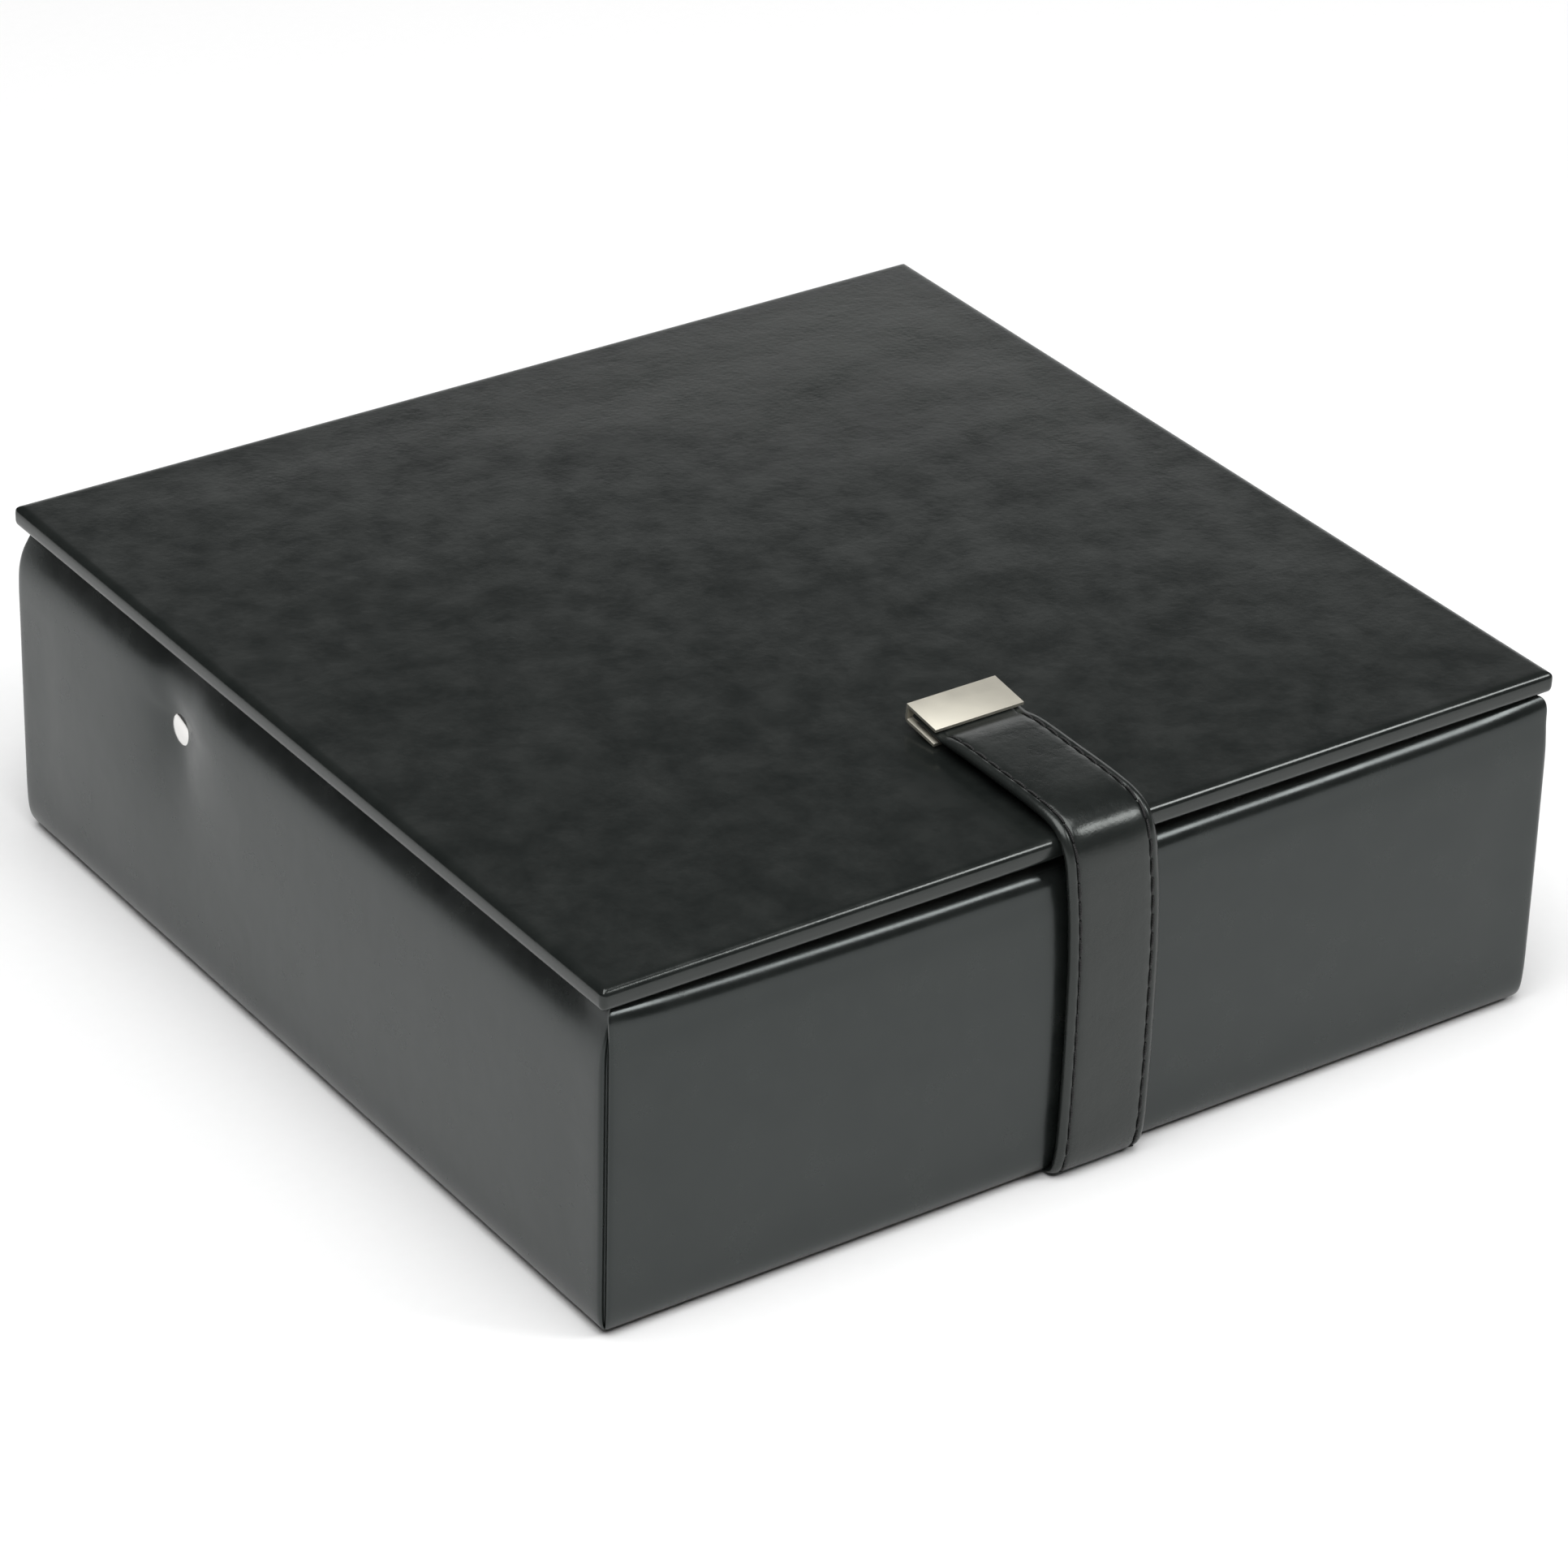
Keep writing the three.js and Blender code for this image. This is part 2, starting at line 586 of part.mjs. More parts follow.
buildWalls(caseGroup);
buildLinings(caseGroup);
buildLowerDividers(caseGroup);
buildBraceletRoll(caseGroup);
buildStuds(caseGroup);
buildStrapAnchor(caseGroup);
buildHinges(caseGroup, lidGroup);
buildLid(lidGroup);
buildMirror(lidGroup);
buildBrackets(lidGroup);
buildLever(leverGroup, 'left_lever', -1);
buildLever(leverGroup, 'right_lever', 1);
buildTrayShell(trayGroup);
buildTrayPins(trayGroup);
buildTrayInside(trayGroup);
buildStrapFront(strapGroup);
buildStrapTop(strapGroup);
buildClip(strapGroup);

export default jewelryBox;
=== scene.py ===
import math

import bpy
import numpy as np
from mathutils import Matrix, Vector, noise


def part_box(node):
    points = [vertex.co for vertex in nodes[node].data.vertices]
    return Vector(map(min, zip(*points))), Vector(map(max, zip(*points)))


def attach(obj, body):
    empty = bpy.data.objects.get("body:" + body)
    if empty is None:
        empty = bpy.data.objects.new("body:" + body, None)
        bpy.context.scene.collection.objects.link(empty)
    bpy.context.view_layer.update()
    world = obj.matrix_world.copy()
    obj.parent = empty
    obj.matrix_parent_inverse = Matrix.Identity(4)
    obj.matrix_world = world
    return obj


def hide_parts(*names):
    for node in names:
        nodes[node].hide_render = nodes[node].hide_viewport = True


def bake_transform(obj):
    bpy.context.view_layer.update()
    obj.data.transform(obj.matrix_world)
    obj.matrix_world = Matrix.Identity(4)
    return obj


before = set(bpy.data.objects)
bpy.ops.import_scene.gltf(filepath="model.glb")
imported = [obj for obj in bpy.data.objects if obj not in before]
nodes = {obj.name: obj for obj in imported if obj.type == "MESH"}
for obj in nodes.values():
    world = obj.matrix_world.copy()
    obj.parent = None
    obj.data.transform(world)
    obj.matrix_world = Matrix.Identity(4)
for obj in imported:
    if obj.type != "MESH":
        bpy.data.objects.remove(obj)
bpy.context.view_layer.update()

mm = 0.001
print("frame loaded:", len(nodes), "nodes")

# camera

cameraSetup = {
    "place": (-0.74911, -1.07200, 0.79520),
    "right": (0.82528, -0.56422, 0.023865),
    "up": (0.2662, 0.425942, 0.864703),
    "back": (-0.498047, -0.707269, 0.501716),
    "lens": 140.587,  # mm, on a 36 mm wide sensor
}


def makeCamera(setup):
    data = bpy.data.cameras.new("camera")
    data.lens = setup["lens"]
    data.sensor_width = 36
    data.clip_start = 0.05
    data.clip_end = 50
    camera = bpy.data.objects.new("camera", data)
    turn = Matrix((setup["right"], setup["up"], setup["back"])).transposed()
    camera.matrix_world = Matrix.Translation(setup["place"]) @ turn.to_4x4()
    bpy.context.scene.collection.objects.link(camera)
    bpy.context.scene.camera = camera


makeCamera(cameraSetup)
print("camera placed")

# studio: pale floor, dim room, three soft boxes

studio = {
    "room": 0.07,
    "floorTone": 0.88,
    "floorSize": 6.0,
    "lamps": {  # place, size, power in watts
        "overheadLamp": ((-0.45, -0.4, 2.3), (2.4, 2.4), 82),
        "edgeLamp": ((1.15, -1.15, 1.4), (0.55, 0.55), 12),
        "backLamp": ((1.75, 2.15, 0.72), (3.6, 1.12), 13),
    },
}


def makeRoom(setup):
    scene = bpy.context.scene
    scene.view_settings.view_transform = "Standard"
    world = bpy.data.worlds.new("room")
    world.use_nodes = True
    shade = world.node_tree.nodes["Background"]
    shade.inputs["Color"].default_value = (1, 1, 1, 1)
    shade.inputs["Strength"].default_value = setup["room"]
    scene.world = world
    for name, (place, size, power) in setup["lamps"].items():
        data = bpy.data.lights.new(name, "AREA")
        data.shape = "RECTANGLE"
        data.size, data.size_y = size
        data.energy = power
        lamp = bpy.data.objects.new(name, data)
        lamp.location = place
        aim = Vector((0, 0, 0.05)) - Vector(place)
        lamp.rotation_euler = aim.to_track_quat("-Z", "Y").to_euler()
        lamp.visible_camera = False
        scene.collection.objects.link(lamp)


makeRoom(studio)

# small helpers for meshes


def newPiece(name, points, faces, material=None):
    mesh = bpy.data.meshes.new(name)
    mesh.from_pydata([tuple(p) for p in points], [], faces)
    mesh.update()
    mesh.shade_smooth()
    piece = bpy.data.objects.new(name, mesh)
    bpy.context.scene.collection.objects.link(piece)
    if material:
        mesh.materials.append(material)
    return piece


def coordinates(piece):
    flat = np.empty(len(piece.data.vertices) * 3)
    piece.data.vertices.foreach_get("co", flat)
    return flat.reshape(-1, 3)


def setCoordinates(piece, points):
    piece.data.vertices.foreach_set("co", np.asarray(points, float).ravel())
    piece.data.update()


def easing(t):
    t = min(max(t, 0.0), 1.0)
    return t * t * (3 - 2 * t)


def addModifier(piece, kind, **values):
    modifier = piece.modifiers.new(kind.lower(), kind)
    for key, value in values.items():
        setattr(modifier, key, value)
    return modifier


def applyModifiers(piece):
    graph = bpy.context.evaluated_depsgraph_get()
    mesh = bpy.data.meshes.new_from_object(piece.evaluated_get(graph))
    old = piece.data
    piece.modifiers.clear()
    piece.data = mesh
    bpy.data.meshes.remove(old)


# Inflates a piece as cloth, with pins from 0 (free) to 1 (held). The furthest move is brought
# to the given height, so the crown keeps the shape that the pressure gave it.
def inflate(piece, pins, height, pressure=4.0, stiffness=15.0, frames=20):
    group = piece.vertex_groups.new(name="pins")
    for index, weight in enumerate(pins):
        if weight > 0:
            group.add([index], float(weight), "REPLACE")
    before = coordinates(piece)
    cloth = piece.modifiers.new("cloth", "CLOTH")
    cloth.settings.vertex_group_mass = group.name
    cloth.settings.pin_stiffness = 5
    cloth.settings.quality = 6
    cloth.settings.mass = 0.15
    cloth.settings.tension_stiffness = stiffness
    cloth.settings.compression_stiffness = stiffness
    cloth.settings.shear_stiffness = stiffness / 3
    cloth.settings.bending_stiffness = 1.0
    cloth.settings.use_pressure = True
    cloth.settings.uniform_pressure_force = pressure
    cloth.settings.effector_weights.gravity = 0
    cloth.collision_settings.use_collision = False
    cloth.point_cache.frame_start = 1
    cloth.point_cache.frame_end = frames
    scene = bpy.context.scene
    for step in range(1, frames + 1):
        scene.frame_set(step)
    graph = bpy.context.evaluated_depsgraph_get()
    swollen = piece.evaluated_get(graph).to_mesh()
    after = np.array([tuple(v.co) for v in swollen.vertices])
    piece.evaluated_get(graph).to_mesh_clear()
    piece.modifiers.remove(cloth)
    piece.vertex_groups.remove(group)
    scene.frame_set(1)
    move = after - before
    furthest = np.linalg.norm(move, axis=1).max()
    print(f"  {piece.name} swelled {furthest / mm:.1f} mm, brought to {height / mm:.1f} mm")
    setCoordinates(piece, before + move * (height / max(furthest, 1e-9)))


# materials


surfaceOutputs = [
    ("Color", "NodeSocketColor"),
    ("Roughness", "NodeSocketFloat"),
    ("Height", "NodeSocketFloat"),
]


def newGroup(name, inputs, outputs):
    group = bpy.data.node_groups.new(name, "ShaderNodeTree")
    for label, kind, value in inputs:
        socket = group.interface.new_socket(label, in_out="INPUT", socket_type=kind)
        socket.default_value = value
    for label, kind in outputs:
        group.interface.new_socket(label, in_out="OUTPUT", socket_type=kind)
    group.nodes.new("NodeGroupInput")
    group.nodes.new("NodeGroupOutput")
    return group


def addNode(tree, kind, values=None, **settings):
    node = tree.nodes.new(kind)
    for key, value in settings.items():
        setattr(node, key, value)
    for key, value in (values or {}).items():
        node.inputs[key].default_value = value
    return node


def mathNode(tree, operation, first, second=None):
    node = tree.nodes.new("ShaderNodeMath")
    node.operation = operation
    for slot, value in ((0, first), (1, second)):
        if value is None:
            continue
        if isinstance(value, (int, float)):
            node.inputs[slot].default_value = value
        else:
            tree.links.new(value, node.inputs[slot])
    return node.outputs[0]


# Leather: fine pebble grain and pores, soft mottling, and broad uneven tension.
# Sizes are in metres.
def makeLeatherGroup():
    group = newGroup(
        "leatherGrain",
        [
            ("Grain Size", "NodeSocketFloat", 0.0011),
            ("Grain", "NodeSocketFloat", 0.5),
            ("Mottling", "NodeSocketFloat", 0.5),
            ("Waviness", "NodeSocketFloat", 0.5),
            ("Roughness", "NodeSocketFloat", 0.38),
            ("Dark", "NodeSocketColor", (0.0085, 0.0102, 0.0096, 1)),
            ("Light", "NodeSocketColor", (0.0125, 0.0145, 0.0135, 1)),
        ],
        surfaceOutputs,
    )
    source = group.nodes["Group Input"].outputs
    target = group.nodes["Group Output"].inputs
    link = group.links.new
    place = addNode(group, "ShaderNodeTexCoord").outputs["Object"]
    frequency = mathNode(group, "DIVIDE", 1.0, source["Grain Size"])

    pebbles = addNode(group, "ShaderNodeTexVoronoi", feature="SMOOTH_F1")
    pebbles.inputs["Smoothness"].default_value = 0.35
    link(place, pebbles.inputs["Vector"])
    link(frequency, pebbles.inputs["Scale"])
    creases = addNode(group, "ShaderNodeTexNoise", {"Detail": 2.0, "Roughness": 0.5})
    link(place, creases.inputs["Vector"])
    link(mathNode(group, "MULTIPLY", frequency, 0.45), creases.inputs["Scale"])
    mottle = addNode(group, "ShaderNodeTexNoise", {"Scale": 95.0, "Detail": 5.0, "Roughness": 0.62})
    link(place, mottle.inputs["Vector"])
    stretch = addNode(group, "ShaderNodeMapping", {"Scale": (24.0, 58.0, 40.0)})
    link(place, stretch.inputs["Vector"])
    waves = addNode(group, "ShaderNodeTexNoise", {"Scale": 1.0, "Detail": 2.0, "Roughness": 0.45})
    link(stretch.outputs["Vector"], waves.inputs["Vector"])

    # heights in metres, so that a Bump node of distance 1 gives real slopes
    grain = mathNode(group, "MULTIPLY", pebbles.outputs["Distance"], 0.00001)
    crease = mathNode(group, "MULTIPLY", creases.outputs["Fac"], 0.000024)
    fine = mathNode(group, "MULTIPLY", mathNode(group, "ADD", grain, crease), source["Grain"])
    soft = mathNode(group, "MULTIPLY", mottle.outputs["Fac"], 0.00016)
    soft = mathNode(group, "MULTIPLY", soft, source["Mottling"])
    broad = mathNode(group, "MULTIPLY", waves.outputs["Fac"], 0.0012)
    broad = mathNode(group, "MULTIPLY", broad, source["Waviness"])
    link(mathNode(group, "ADD", mathNode(group, "ADD", fine, soft), broad), target["Height"])

    tone = addNode(group, "ShaderNodeMapRange", {"From Min": 0.35, "From Max": 0.65})
    link(mottle.outputs["Fac"], tone.inputs["Value"])
    mix = addNode(group, "ShaderNodeMix", data_type="RGBA")
    link(tone.outputs["Result"], mix.inputs["Factor"])
    link(source["Dark"], mix.inputs[6])
    link(source["Light"], mix.inputs[7])
    link(mix.outputs[2], target["Color"])
    uneven = mathNode(group, "MULTIPLY", mathNode(group, "SUBTRACT", mottle.outputs["Fac"], 0.5), 0.2)
    link(mathNode(group, "ADD", source["Roughness"], uneven), target["Roughness"])
    return group


def newMaterial(name, **constants):
    material = bpy.data.materials.new(name)
    material.use_nodes = True
    shader = material.node_tree.nodes["Principled BSDF"]
    for key, value in constants.items():
        shader.inputs[key.replace("_", " ")].default_value = value
    return material, material.node_tree, shader


def placeGroup(tree, group, values):
    node = tree.nodes.new("ShaderNodeGroup")
    node.node_tree = group
    for key, value in values.items():
        node.inputs[key].default_value = value
    return node


# joins a group's colour, roughness and height (in metres) to the shader
def wireUp(tree, node, shader):
    link = tree.links.new
    link(node.outputs["Color"], shader.inputs["Base Color"])
    link(node.outputs["Roughness"], shader.inputs["Roughness"])
    bump = addNode(tree, "ShaderNodeBump", {"Strength": 1.0, "Distance": 1.0})
    link(node.outputs["Height"], bump.inputs["Height"])
    link(bump.outputs["Normal"], shader.inputs["Normal"])


leatherGroup = makeLeatherGroup()


def makeLeather(name, values, **constants):
    material, tree, shader = newMaterial(name, **constants)
    wireUp(tree, placeGroup(tree, leatherGroup, values), shader)
    return material


lidLeather = makeLeather(
    "lidLeather",
    {"Grain": 0.7, "Mottling": 0.18, "Waviness": 0.05, "Roughness": 0.2},
    Specular_Tint=(0.95, 1.0, 0.97, 1),
)
wallLeather = makeLeather(
    "wallLeather",
    {"Grain": 0.3, "Mottling": 0.25, "Waviness": 0.1, "Roughness": 0.25},
    Specular_Tint=(0.92, 1.0, 0.99, 1),
)
strapLeather = makeLeather(
    "strapLeather",
    {"Grain": 0.9, "Grain Size": 0.0008, "Mottling": 1.1, "Waviness": 0.2, "Roughness": 0.29},
    Specular_Tint=(0.95, 1.0, 0.97, 1),
)

# floor


def makeFloor(setup):
    half = setup["floorSize"] / 2
    corners = [(-half, -half, 0), (half, -half, 0), (half, half, 0), (-half, half, 0)]
    material, tree, shader = newMaterial("floorPaper", Roughness=0.9, Specular_IOR_Level=0.1)
    speckle = addNode(tree, "ShaderNodeTexNoise", {"Scale": 300.0, "Detail": 3.0})
    tone = addNode(tree, "ShaderNodeMapRange")
    tone.inputs["To Min"].default_value = setup["floorTone"] - 0.01
    tone.inputs["To Max"].default_value = setup["floorTone"] + 0.01
    place = addNode(tree, "ShaderNodeTexCoord")
    tree.links.new(place.outputs["Object"], speckle.inputs["Vector"])
    tree.links.new(speckle.outputs["Fac"], tone.inputs["Value"])
    tree.links.new(tone.outputs["Result"], shader.inputs["Base Color"])
    floor = newPiece("floor", corners, [(0, 1, 2, 3)], material)


makeFloor(studio)
print("studio and leather made")

# walls: one padded leather wrap round the case

wrap = {
    "halfX": 135.0 * mm,  # the padding stands a little proud of its CAD wall
    "halfY": 135.2 * mm,
    "corner": 2.1 * mm,
    "crease": 1.6 * mm,  # how far the seam pulls in each upright corner
    "spacing": 4.5 * mm,
    "sag": 2.3 * mm,  # how far the front rim dips between the corners
    "sideSag": 0.5 * mm,  # the same on the side walls
    "rearDrop": 1.7 * mm,  # the rear rim is lower, under the hinges
    "crown": 0.6 * mm,  # how far the padding swells
    "dimple": 2.1 * mm,  # how far the stud pulls the leather in
    "dimpleReach": (12 * mm, 20 * mm),  # how far that shows, along the wall and up it
    "seat": 1.1 * mm,  # a narrower pull close round the stud
    "seatReach": 6.5 * mm,
    "pucker": 0.1,  # short folds round the stud, as a share of the dimple
    "unevenness": 0.2 * mm,
    "cornerShare": 0.74,  # the rim slopes less near the corners
    "cornerReach": 0.05,  # as a share of the wall's length
    "rimRows": 18,  # rows of the section that make up the rim and the shoulder
    "backRows": 4,
}


# stops round a rectangle with rounded corners, anticlockwise from the front right corner
def stopsRound(width, depth, spacing, cornerSteps):
    corners = [(1, -1), (1, 1), (-1, 1), (-1, -1)]
    stops = []
    for index, corner in enumerate(corners):
        start = -90 + 90 * index
        for step in range(cornerSteps + 1):
            angle = math.radians(start + 90 * step / cornerSteps)
            stops.append((corner, corner, 0.0, math.cos(angle), math.sin(angle)))
        nextCorner = corners[(index + 1) % 4]
        count = round((depth if index % 2 == 0 else width) / spacing)
        angle = math.radians(start + 90)
        for step in range(1, count):
            stops.append((corner, nextCorner, step / count, math.cos(angle), math.sin(angle)))
    return stops


def stopPlace(stop, halfX, halfY, radius):
    (ax, ay), (bx, by), t, nx, ny = stop
    x = (halfX - radius) * (ax + (bx - ax) * t) + radius * nx
    y = (halfY - radius) * (ay + (by - ay) * t) + radius * ny
    return x, y


# the wrap's section as (inset at the front, inset at the other walls, height) in mm, from the
# inside of the rim, over it and down: the front has a fuller roll, the others slope more
def wrapSection():
    rows = [(10.3, 10.3, 81.5), (10.3, 10.3, 84.6), (9.9, 9.9, 85.4), (8.9, 8.9, 85.8), (6.6, 7.6, 85.95)]
    rows += [(5.0, 6.8, 85.9), (3.9, 6.1, 85.6), (2.9, 5.45, 85.0), (2.1, 4.8, 84.2), (1.5, 4.2, 83.2)]
    rows += [(1.1, 3.6, 82.0), (0.92, 2.85, 80.6), (0.78, 2.05, 79.0), (0.56, 1.25, 77.2), (0.32, 0.6, 75.2)]
    rows += [(0.13, 0.22, 72.8), (0.03, 0.07, 70.0), (0.0, 0.01, 68.0)]
    rows += [(0.0, 0.0, height) for height in np.linspace(66.5, 13.0, 13)]
    rows += [(0.04, 0.04, 9.6), (0.18, 0.18, 6.8), (0.5, 0.5, 4.6), (1.1, 1.1, 2.8)]
    rows += [(2.0, 2.0, 1.5), (3.1, 3.1, 0.9)]
    # back of the padding, against the board
    rows += [(3.5, 3.5, 2.0), (3.5, 3.5, 20), (3.5, 3.5, 60), (3.5, 3.5, 80.8)]
    return rows


def buildWrap(setup):
    stops = stopsRound(2 * setup["halfX"], 2 * setup["halfY"], setup["spacing"], 6)
    rows = wrapSection()
    studLow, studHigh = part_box("left_stud")
    studY = (studLow.y + studHigh.y) / 2
    studZ = (studLow.z + studHigh.z) / 2
    reachY, reachZ = setup["dimpleReach"]
    points, pins = [], []
    for row, (frontInset, sideInset, height) in enumerate(rows):
        for stop in stops:
            across = stop[2] if stop[0] != stop[1] else 0.0
            isFront = easing((-stop[4] - 0.3) / 0.7)
            inset = sideInset + (frontInset - sideInset) * isFront
            if row < setup["rimRows"] and height < 85.9 and inset < 7:  # the corners stand fuller
                share = setup["cornerShare"]
                inset *= share + (1 - share) * easing(min(across, 1 - across) / setup["cornerReach"])
            radius = max(setup["corner"] - inset * mm, 0.3 * mm)
            x, y = stopPlace(stop, setup["halfX"] - inset * mm, setup["halfY"] - inset * mm, radius)
            z = height * mm
            onSide = abs(stop[3]) > 0.99
            outside = 6 < row < len(rows) - setup["backRows"]
            pull, away = 0.0, 1.0
            if onSide and outside:  # the stud draws the leather in, with short puckers round it
                dy, dz = y - studY, z - studZ
                away = math.hypot(dy, dz)
                wide = math.exp(-((dy / reachY) ** 2) - (dz / reachZ) ** 2)
                near = math.exp(-((away / setup["seatReach"]) ** 2))
                folds = math.sin(6 * math.atan2(dz, dy) + 1.3)
                pucker = setup["pucker"] * folds * math.exp(-(((away - 10 * mm) / (5 * mm)) ** 2))
                pull = setup["dimple"] * (wide + pucker) + setup["seat"] * near
            if height > 60:  # the rim sags between the corners
                between = math.sin(math.pi * across)
                sag = setup["sideSag"] * between
                if stop[4] < -0.99:
                    sag = setup["sag"] * between**0.6
                if stop[4] > 0.99:
                    sag = setup["rearDrop"] * easing(between / 0.3)
                z -= sag * easing((height - 66) / 18)
            if abs(stop[3]) < 0.99 and abs(stop[4]) < 0.99 and outside:  # on a corner's arc
                middleOfArc = (2 * abs(stop[3] * stop[4])) ** 3
                pull += setup["crease"] * middleOfArc * easing((84 - height) / 6)
            if outside and 4 < height < 84:
                pull += setup["unevenness"] * noise.noise(Vector((x, y, z)) * 26)
            points.append((x - stop[3] * pull, y - stop[4] * pull, z))
            # only the outer panels are free to swell: the corners and the stud hold them
            along = max(setup["halfX"] - abs(x), 0) + max(setup["halfY"] - abs(y), 0)
            free = easing((height - 5) / 14) * easing((82 - height) / 16) * easing(along / (22 * mm))
            free *= easing((away - 4 * mm) / (14 * mm))
            pins.append(1.0 - free if outside else 1.0)
    count = len(stops)
    faces = []
    for row in range(len(rows)):
        below = (row + 1) % len(rows)
        for i in range(count):
            j = (i + 1) % count
            faces.append((row * count + i, below * count + i, below * count + j, row * count + j))
    piece = newPiece("wallWrap", points, faces, wallLeather)
    inflate(piece, pins, setup["crown"])
    addModifier(piece, "SUBSURF", levels=1, render_levels=1)
    applyModifiers(piece)
    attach(piece, "case")
    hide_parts("front_padding", "right_padding", "rear_padding", "left_padding")


buildWrap(wrap)
print("walls wrapped")

# lid: leather skin drawn over the board, softly crowned

lid = {
    "halfX": 135 * mm,
    "halfY": 134 * mm,
    "under": 86.5 * mm,
    "top": 91.8 * mm,
    "corner": 1.5 * mm,
    "edge": 2.1 * mm,
    "skin": 1.2 * mm,
    "crown": 0.5 * mm,
    "ripple": 0.1 * mm,
    "spacing": 5 * mm,
}


# point numbers round the edge of a grid
def gridBorder(across, along):
    border = list(range(across))
    border += [row * across + across - 1 for row in range(1, along)]
    border += [(along - 1) * across + i for i in range(across - 2, -1, -1)]
    return border + [row * across for row in range(along - 2, 0, -1)]


# lines across a span, closer together near both edges
def gridLines(half, spacing, edge):
    near = [share * edge for share in (0, 0.07, 0.2, 0.38, 0.6, 0.8, 1, 1.6, 2.4, 3.6)]
    inner = half - 5.2 * edge
    count = round(2 * inner / spacing)
    middle = list(np.linspace(-inner, inner, count + 1))
    return [-half + d for d in near] + middle + [half - d for d in reversed(near)]


def buildLidSkin(setup):
    halfX, halfY, corner, edge = setup["halfX"], setup["halfY"], setup["corner"], setup["edge"]
    linesX = gridLines(halfX, setup["spacing"], edge)
    linesY = gridLines(halfY, setup["spacing"], edge)
    points, pins, faces = [], [], []
    for y in linesY:
        for x in linesX:
            beyondX, beyondY = abs(x) - (halfX - corner), abs(y) - (halfY - corner)
            px, py = x, y
            if beyondX > 0 and beyondY > 0:  # the corner square is drawn round
                ux, uy = beyondX / corner, beyondY / corner
                px = math.copysign(halfX - corner + beyondX * math.sqrt(1 - uy * uy / 2), x)
                py = math.copysign(halfY - corner + beyondY * math.sqrt(1 - ux * ux / 2), y)
            inside = min(halfX - abs(x), halfY - abs(y))
            fall = max(edge - inside, 0)
            drop = edge - math.sqrt(max(edge * edge - fall * fall, 0))
            ripple = setup["ripple"] * noise.noise(Vector((px * 22, py * 60, 0)))
            ripple *= easing(inside / (25 * mm))
            points.append((px, py, setup["top"] - drop + ripple))
            pins.append(1 - easing((inside - 3 * mm) / (16 * mm)))
    across, along = len(linesX), len(linesY)
    for row in range(along - 1):
        for i in range(across - 1):
            a = row * across + i
            faces.append((a, a + 1, a + 1 + across, a + across))
    border = gridBorder(across, along)
    # down the edge band, round under and back up inside to the board
    under, skin = setup["under"], setup["skin"]
    bend = [(0, 2.6), (0, 1.6), (0.1, 0.9), (0.3, 0.4), (0.6, 0.1), (0.9, 0)]
    section = [(inset * mm, under + rise * mm) for inset, rise in bend]
    section += [(skin, under + 0.4 * mm), (skin, under + 2 * mm)]
    ring = border
    for inset, height in section:
        start = len(points)
        for index in border:
            x, y, z = points[index]
            cx = max(abs(x) - (halfX - corner), 0)
            cy = max(abs(y) - (halfY - corner), 0)
            length = max(math.hypot(cx, cy), 1e-9)
            stepX = math.copysign(inset * cx / length, x)
            stepY = math.copysign(inset * cy / length, y)
            points.append((x - stepX, y - stepY, height))
            pins.append(1)
        fresh = list(range(start, start + len(border)))
        for i in range(len(border)):
            j = (i + 1) % len(border)
            faces.append((ring[i], fresh[i], fresh[j], ring[j]))
        ring = fresh
    piece = newPiece("lidSkin", points, faces, lidLeather)
    inflate(piece, pins, setup["crown"], stiffness=30.0)
    addModifier(piece, "SUBSURF", levels=1, render_levels=1)
    applyModifiers(piece)
    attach(piece, "lid")
    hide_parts("lid_cover")


buildLidSkin(lid)
print("lid covered")

# strap: a padded leather band, stitched along both edges

strap = {  # in mm
    "thickness": 2.8,
    "step": 1.2,
    "stitchAt": 10.3,  # from the middle of the strap to each seam
    "stitchPitch": 5.0,
    "stitchLength": 4.5,
    "thread": 0.36,
    "threadDepth": 0.2,  # how far the thread sits below the face
    "stitchSlant": 0.055,
    "clipCover": 13.5,  # the stitching stops where the clip covers the strap
}

# outer face of the strap as (y, z, thickness, drift across) in mm, from the anchor to inside
# the clip: the front run hangs a little to the right of the flap
footPath = [
    (-129.4, 0.25, 1.1, 1.8), (-132.0, 0.25, 1.3, 1.8), (-134.2, 0.5, 1.8, 1.8), (-136.2, 1.4, 2.4, 1.8),
    (-137.6, 3.2, 2.7, 1.85), (-138.4, 6.0, 2.8, 1.9), (-138.8, 9.0, 2.8, 1.95), (-139.0, 12.0, 2.8, 2.0),
]
bandPath = [
    (-139.0, 12.0, 2.8, 2.0), (-139.4, 26.0, 2.8, 2.1), (-139.6, 45.0, 2.8, 2.1), (-139.6, 62.0, 2.8, 1.95),
    (-139.4, 74.0, 2.8, 1.4), (-139.1, 81.5, 2.8, 0.8), (-138.6, 86.6, 2.8, 0.5), (-137.4, 90.4, 2.8, 0.3),
    (-135.4, 93.4, 2.8, 0.2), (-132.6, 95.3, 2.8, 0.1), (-129.0, 96.3, 2.8, 0.1), (-124.0, 96.9, 2.8, 0),
    (-117.0, 97.15, 2.8, 0), (-108.0, 97.2, 2.8, 0), (-99.0, 97.3, 2.8, 0), (-94.0, 97.2, 2.8, 0),
    (-90.5, 96.75, 2.4, 0), (-87.8, 96.15, 1.7, 0), (-84.0, 96.45, 1.5, 0), (-77.2, 97.35, 1.4, 0),
]


